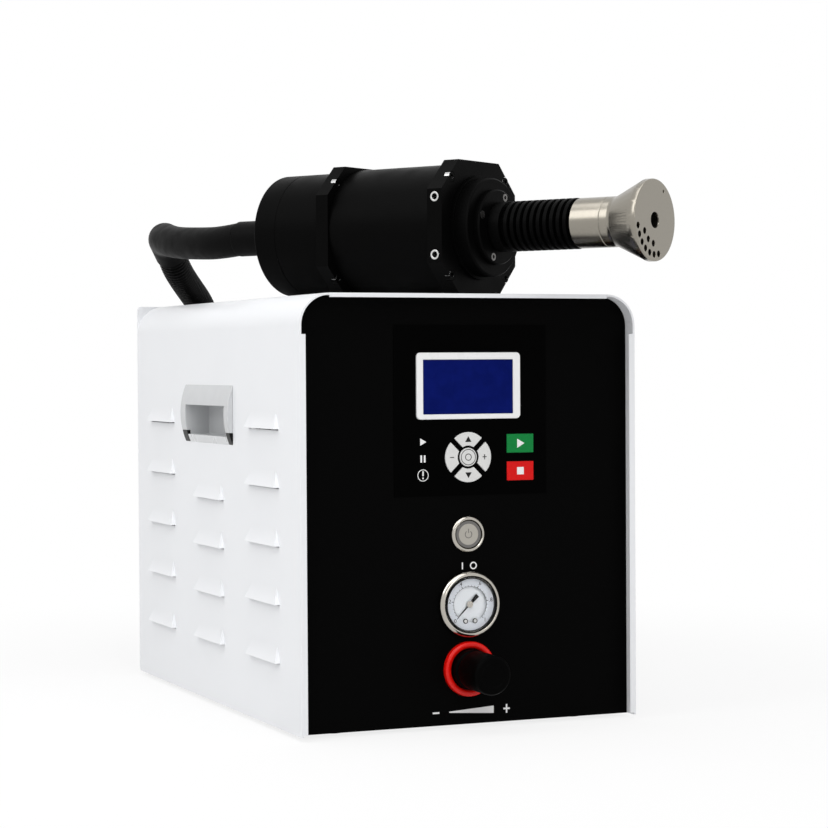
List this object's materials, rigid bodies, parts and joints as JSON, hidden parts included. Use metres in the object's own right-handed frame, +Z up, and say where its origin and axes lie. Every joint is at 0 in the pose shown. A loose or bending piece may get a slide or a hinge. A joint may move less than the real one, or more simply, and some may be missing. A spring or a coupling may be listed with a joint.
{
  "type": "rotary plasma surface treatment unit",
  "caption": "Bench plasma treatment generator with a recessed black control panel, louvred white cover and a motor-driven rotary jet torch on a coiled hose.",
  "frame": {"origin": "centre of the standing plane, under the middle of the cabinet", "axes": "+X to the cabinet's right as its front is faced, +Y from its front panel to its rear panel, +Z up"},
  "size_m": [0.3678, 0.7721, 0.3965],
  "materials": {
    "tray_steel": "satin",
    "cover_paint": "satin",
    "panel_black": "satin",
    "foot_rubber": "matte",
    "bright_steel": "satin",
    "handle_silver": "satin",
    "handle_bar": "satin",
    "black_plastic": "matte",
    "overlay_film": "satin",
    "bezel_plastic": "gloss",
    "display_blue": "backlit",
    "key_grey": "satin",
    "key_green": "satin",
    "key_red": "satin",
    "circuit_board": "satin",
    "button_steel": "polished",
    "gauge_steel": "polished",
    "dial_white": "matte",
    "gauge_glass": "clear",
    "ring_red": "gloss",
    "fitting_nickel": "satin",
    "transformer_core": "varnished",
    "torch_black": "black anodised",
    "screw_steel": "blackened",
    "bearing_steel": "ground",
    "motor_iron": "laminated",
    "electrode_brass": "satin",
    "nozzle_steel": "turned",
    "gland_rubber": "matte",
    "hose_rubber": "satin"
  },
  "bodies": {
    "cabinet": {"base_tray": "tray_steel", "cover_shell": "cover_paint", "rear_panel": "cover_paint", "front_panel": "panel_black", "rubber_feet": "foot_rubber", "rear_panel_screws": "bright_steel", "handle_left": "handle_silver", "handle_right": "handle_silver", "handle_bars": "handle_bar", "handle_end_blocks": "black_plastic", "membrane_overlay": "overlay_film", "display_bezel": "bezel_plastic", "display_module": "display_blue", "control_board": "circuit_board", "power_button_body": "button_steel", "gauge_case": "gauge_steel", "gauge_dial": "dial_white", "gauge_lens": "gauge_glass", "regulator_body": "black_plastic", "regulator_ring": "ring_red", "fan_frame": "black_plastic", "mains_inlet": "black_plastic", "air_fitting": "fitting_nickel", "hose_socket": "fitting_nickel", "high_voltage_transformer": "transformer_core", "inverter_board": "circuit_board", "torch_front_flange": "torch_black", "torch_main_housing": "torch_black", "torch_rear_flange": "torch_black", "torch_rear_housing": "torch_black", "torch_rear_cap": "torch_black", "bearing_housing": "torch_black", "bearing_cover": "torch_black", "torch_screws": "screw_steel", "thread_inserts": "bright_steel", "shaft_bearings": "bearing_steel", "motor_stator": "motor_iron", "electrode": "electrode_brass", "hose_gland": "gland_rubber", "hose_sleeve": "hose_rubber", "hose_tube": "hose_rubber", "hose_coil": "hose_rubber", "hose_tail": "hose_rubber"},
    "nozzle_rotor": {"hollow_shaft": "bearing_steel", "motor_rotor": "motor_iron", "finned_neck": "torch_black", "nozzle_tube": "nozzle_steel", "nozzle_head": "nozzle_steel"},
    "power_button": {"power_button_cap": "button_steel"},
    "regulator_spindle": {"adjusting_screw": "bright_steel"},
    "regulator_pull_knob": {"regulator_knob": "black_plastic"},
    "needle": {"gauge_needle": "black_plastic"},
    "fan_wheel": {"fan_rotor": "black_plastic"},
    "key_up_cap": {"key_up": "key_grey"},
    "key_down_cap": {"key_down": "key_grey"},
    "key_minus_cap": {"key_minus": "key_grey"},
    "key_plus_cap": {"key_plus": "key_grey"},
    "key_menu_cap": {"key_menu": "key_grey"},
    "key_run_cap": {"key_run": "key_green"},
    "key_stop_cap": {"key_stop": "key_red"}
  },
  "joints": [
    {"name": "nozzle_spin", "type": "hinge", "parent": "cabinet", "child": "nozzle_rotor", "pos_m": [0.0167, -0.1712, 0.34975], "axis": [0.5307, -0.8476, 0], "continuous": true},
    {"name": "power_press", "type": "slide", "parent": "cabinet", "child": "power_button", "axis": [0, 1, 0], "range_m": [0, 0.0025], "stiffness_N_per_m": 1200, "springref_m": -0.0008},
    {"name": "regulator_turn", "type": "hinge", "parent": "cabinet", "child": "regulator_spindle", "pos_m": [0.0008, -0.195, 0.0417], "axis": [0, -1, 0], "range_deg": [0, 1440]},
    {"name": "regulator_pull", "type": "slide", "parent": "regulator_spindle", "child": "regulator_pull_knob", "axis": [0, -1, 0], "range_m": [0, 0.003]},
    {"name": "needle_sweep", "type": "hinge", "parent": "cabinet", "child": "needle", "pos_m": [0.0008, -0.186, 0.0869], "axis": [0, 1, 0], "range_deg": [0, 270], "stiffness_Nm_per_rad": 0.00002},
    {"name": "fan_spin", "type": "hinge", "parent": "cabinet", "child": "fan_wheel", "pos_m": [-0.06, 0.18, 0.208], "axis": [0, 1, 0], "continuous": true},
    {"name": "key_up_press", "type": "slide", "parent": "cabinet", "child": "key_up_cap", "axis": [0, 1, 0], "range_m": [0, 0.0004], "stiffness_N_per_m": 3000, "springref_m": -0.0002},
    {"name": "key_down_press", "type": "slide", "parent": "cabinet", "child": "key_down_cap", "axis": [0, 1, 0], "range_m": [0, 0.0004], "stiffness_N_per_m": 3000, "springref_m": -0.0002},
    {"name": "key_minus_press", "type": "slide", "parent": "cabinet", "child": "key_minus_cap", "axis": [0, 1, 0], "range_m": [0, 0.0004], "stiffness_N_per_m": 3000, "springref_m": -0.0002},
    {"name": "key_plus_press", "type": "slide", "parent": "cabinet", "child": "key_plus_cap", "axis": [0, 1, 0], "range_m": [0, 0.0004], "stiffness_N_per_m": 3000, "springref_m": -0.0002},
    {"name": "key_menu_press", "type": "slide", "parent": "cabinet", "child": "key_menu_cap", "axis": [0, 1, 0], "range_m": [0, 0.0004], "stiffness_N_per_m": 3000, "springref_m": -0.0002},
    {"name": "key_run_press", "type": "slide", "parent": "cabinet", "child": "key_run_cap", "axis": [0, 1, 0], "range_m": [0, 0.0004], "stiffness_N_per_m": 3000, "springref_m": -0.0002},
    {"name": "key_stop_press", "type": "slide", "parent": "cabinet", "child": "key_stop_cap", "axis": [0, 1, 0], "range_m": [0, 0.0004], "stiffness_N_per_m": 3000, "springref_m": -0.0002}
  ]
}
